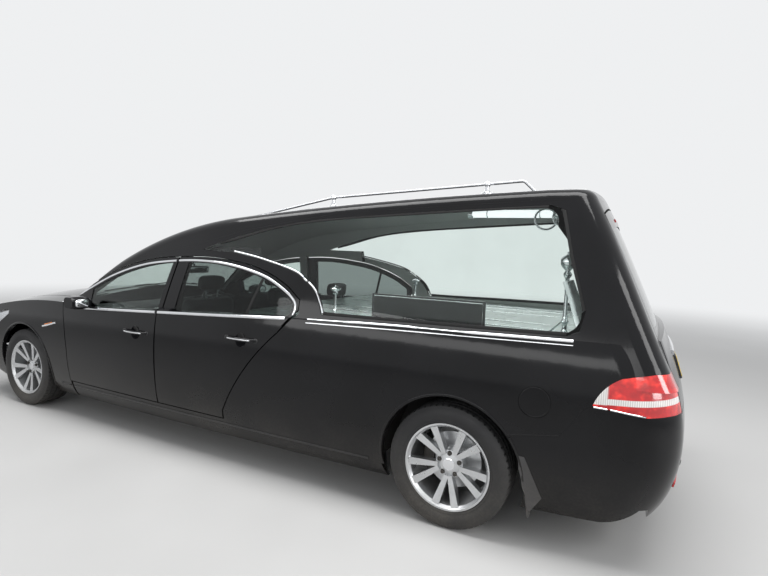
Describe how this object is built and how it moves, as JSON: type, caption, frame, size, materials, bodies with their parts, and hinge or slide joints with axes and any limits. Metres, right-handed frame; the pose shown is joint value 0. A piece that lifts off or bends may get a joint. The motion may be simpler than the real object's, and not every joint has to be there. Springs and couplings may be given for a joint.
{
  "type": "hearse",
  "caption": "Long black estate-bodied hearse with a glazed raised load deck, opening doors, bonnet and tailgate, steered front wheels.",
  "frame": {"origin": "on the ground below the middle of the body", "axes": "nose to -X, left side to -Y, up +Z"},
  "size_m": [5.7993, 2.126, 1.8234],
  "materials": {
    "paint_black": "gloss black coachwork paint",
    "underseal": "satin black underseal",
    "bumper_black": "gloss black painted bumper moulding",
    "tyre": "black tyre rubber",
    "alloy": "silver painted cast alloy",
    "steel": "dull suspension steel",
    "chrome": "polished",
    "glass_clear": "clear with a green tint",
    "glass_dark": "dark tint",
    "lamp_red": "red lens",
    "lamp_clear": "clear lens",
    "trim_dark": "grained dark cabin plastic",
    "cloth_dark": "black seat covering",
    "deck_mint": "pale grey-green deck covering",
    "board_black": "blank black board",
    "rubber": "dark grey rubber",
    "exhaust_steel": "dull stainless"
  },
  "bodies": {
    "body": {"side_frame": "paint_black", "roof_panel": "paint_black", "front_wings": "paint_black", "front_bumper": "bumper_black", "rear_bumper": "bumper_black", "grille": "chrome", "headlights": "lamp_clear", "tail_lights": "lamp_red", "windscreen": "glass_clear", "deck_windows": "glass_clear", "underbody": "underseal", "load_deck": "deck_mint", "engine": "steel", "exhaust": "exhaust_steel", "dashboard": "trim_dark", "steering_wheel": "trim_dark", "front_seats": "cloth_dark", "rear_seat": "cloth_dark", "roof_rails": "chrome", "name_board": "board_black", "mud_flaps": "rubber", "front_axle": "steel", "rear_axle": "steel"},
    "bonnet": {"bonnet": "paint_black"},
    "tailgate": {"tailgate": "paint_black", "tailgate_glass": "glass_dark"},
    "front_door_left": {"front_door_left": "paint_black", "front_door_glass_left": "glass_clear", "mirror_left": "paint_black"},
    "rear_door_left": {"rear_door_left": "paint_black", "rear_door_glass_left": "glass_dark"},
    "steered_left": {"knuckle_left": "steel"},
    "wheel_front_left": {"tyre_front_left": "tyre", "rim_front_left": "alloy"},
    "wheel_rear_left": {"tyre_rear_left": "tyre", "rim_rear_left": "alloy"},
    "front_door_right": {"front_door_right": "paint_black", "front_door_glass_right": "glass_clear", "mirror_right": "paint_black"},
    "rear_door_right": {"rear_door_right": "paint_black", "rear_door_glass_right": "glass_dark"},
    "steered_right": {"knuckle_right": "steel"},
    "wheel_front_right": {"tyre_front_right": "tyre", "rim_front_right": "alloy"},
    "wheel_rear_right": {"tyre_rear_right": "tyre", "rim_rear_right": "alloy"}
  },
  "joints": [
    {"name": "front_door_left_hinge", "type": "hinge", "parent": "body", "child": "front_door_left", "pos_m": [-1.345, -0.935, 0.6], "axis": [0, 0, -1], "range_deg": [0, 65]},
    {"name": "rear_door_left_hinge", "type": "hinge", "parent": "body", "child": "rear_door_left", "pos_m": [-0.285, -0.935, 0.6], "axis": [0, 0, -1], "range_deg": [0, 65]},
    {"name": "steer_left", "type": "hinge", "parent": "body", "child": "steered_left", "pos_m": [-1.93, -0.715, 0.322], "axis": [0, 0, 1], "range_deg": [-35, 35]},
    {"name": "wheel_front_left_spin", "type": "hinge", "parent": "steered_left", "child": "wheel_front_left", "pos_m": [-1.93, -0.79, 0.322], "axis": [0, 1, 0], "continuous": true},
    {"name": "wheel_rear_left_spin", "type": "hinge", "parent": "body", "child": "wheel_rear_left", "pos_m": [1.82, -0.79, 0.322], "axis": [0, 1, 0], "continuous": true},
    {"name": "front_door_right_hinge", "type": "hinge", "parent": "body", "child": "front_door_right", "pos_m": [-1.345, 0.935, 0.6], "axis": [0, 0, 1], "range_deg": [0, 65]},
    {"name": "rear_door_right_hinge", "type": "hinge", "parent": "body", "child": "rear_door_right", "pos_m": [-0.285, 0.935, 0.6], "axis": [0, 0, 1], "range_deg": [0, 65]},
    {"name": "steer_right", "type": "hinge", "parent": "body", "child": "steered_right", "pos_m": [-1.93, 0.715, 0.322], "axis": [0, 0, 1], "range_deg": [-35, 35]},
    {"name": "wheel_front_right_spin", "type": "hinge", "parent": "steered_right", "child": "wheel_front_right", "pos_m": [-1.93, 0.79, 0.322], "axis": [0, 1, 0], "continuous": true},
    {"name": "wheel_rear_right_spin", "type": "hinge", "parent": "body", "child": "wheel_rear_right", "pos_m": [1.82, 0.79, 0.322], "axis": [0, 1, 0], "continuous": true},
    {"name": "bonnet_hinge", "type": "hinge", "parent": "body", "child": "bonnet", "pos_m": [-1.446, 0, 0.995], "axis": [0, 1, 0], "range_deg": [0, 50]},
    {"name": "tailgate_hinge", "type": "hinge", "parent": "body", "child": "tailgate", "pos_m": [2.462, 0, 1.716], "axis": [0, -1, 0], "range_deg": [0, 80]}
  ],
  "couplings": [
    {"joint": "steer_right", "follows": "steer_left", "ratio": 1}
  ]
}
